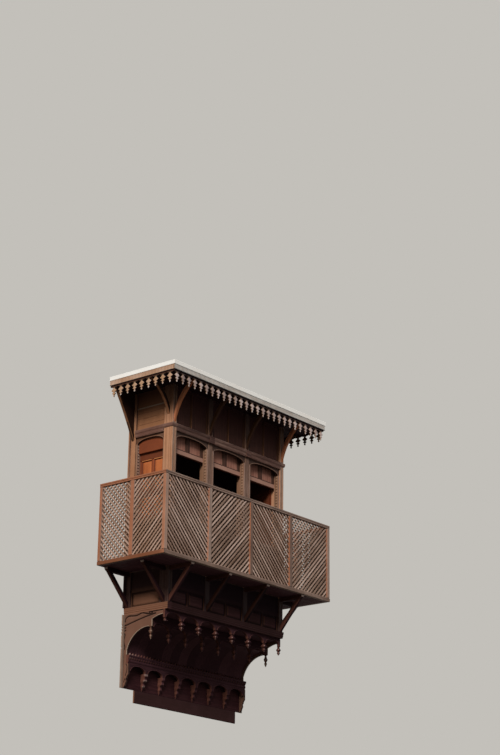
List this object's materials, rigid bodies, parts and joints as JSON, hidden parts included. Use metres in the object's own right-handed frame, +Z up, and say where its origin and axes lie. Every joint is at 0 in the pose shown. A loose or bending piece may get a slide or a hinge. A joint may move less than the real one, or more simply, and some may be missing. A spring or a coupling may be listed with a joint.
{
  "type": "projecting mashrabiya bay window with lattice balcony",
  "caption": "Timber bay window hung on a wall: arched sash windows behind a lattice balcony, flat canopy with carved drops, coved and arcaded base.",
  "frame": {"origin": "centre of the bay on the back face of the bearing beam, where it lies on the wall, level with the underside of the balcony", "axes": "+X right along the wall as seen from the street, +Y into the wall, +Z up"},
  "size_m": [3.18, 1.064, 3.915],
  "materials": {
    "dark_wood": "aged, oiled dark brown",
    "weathered_wood": "sun-bleached brown",
    "newer_wood": "orange-brown oiled",
    "reddish_wood": "reddish brown",
    "white_cap": "weathered white paint"
  },
  "bodies": {
    "root": {"arch_heads": "dark_wood", "balcony_arms": "dark_wood", "balcony_bottom_rail": "weathered_wood", "balcony_floor": "dark_wood", "balcony_posts": "weathered_wood", "balcony_struts": "dark_wood", "balcony_top_rail": "weathered_wood", "base_cornice": "dark_wood", "base_soffit": "dark_wood", "bearer_board": "dark_wood", "cabin_floor": "dark_wood", "canopy_cap": "white_cap", "canopy_fascia": "dark_wood", "canopy_soffit": "dark_wood", "canopy_struts": "dark_wood", "canopy_valance": "dark_wood", "corner_posts": "dark_wood", "cove_panel": "dark_wood", "dado_panels": "dark_wood", "frieze_panels": "dark_wood", "front_sashes": "dark_wood", "inner_arcade": "dark_wood", "lattice_front_1": "weathered_wood", "lattice_front_2": "weathered_wood", "lattice_front_3": "weathered_wood", "lattice_front_4": "weathered_wood", "lattice_left_1": "weathered_wood", "lattice_left_2": "weathered_wood", "lattice_right_1": "weathered_wood", "lattice_right_2": "weathered_wood", "lower_arcade": "dark_wood", "lower_back_board": "reddish_wood", "lower_cornice": "dark_wood", "mullions": "dark_wood", "outer_arcade": "dark_wood", "post_capitals": "dark_wood", "side_board_left": "dark_wood", "side_board_right": "dark_wood", "side_sashes": "newer_wood", "wall_beams": "dark_wood", "wall_posts": "dark_wood", "window_beam": "dark_wood", "window_dado": "dark_wood", "window_jambs": "dark_wood", "window_sills": "dark_wood"}
  },
  "joints": []
}
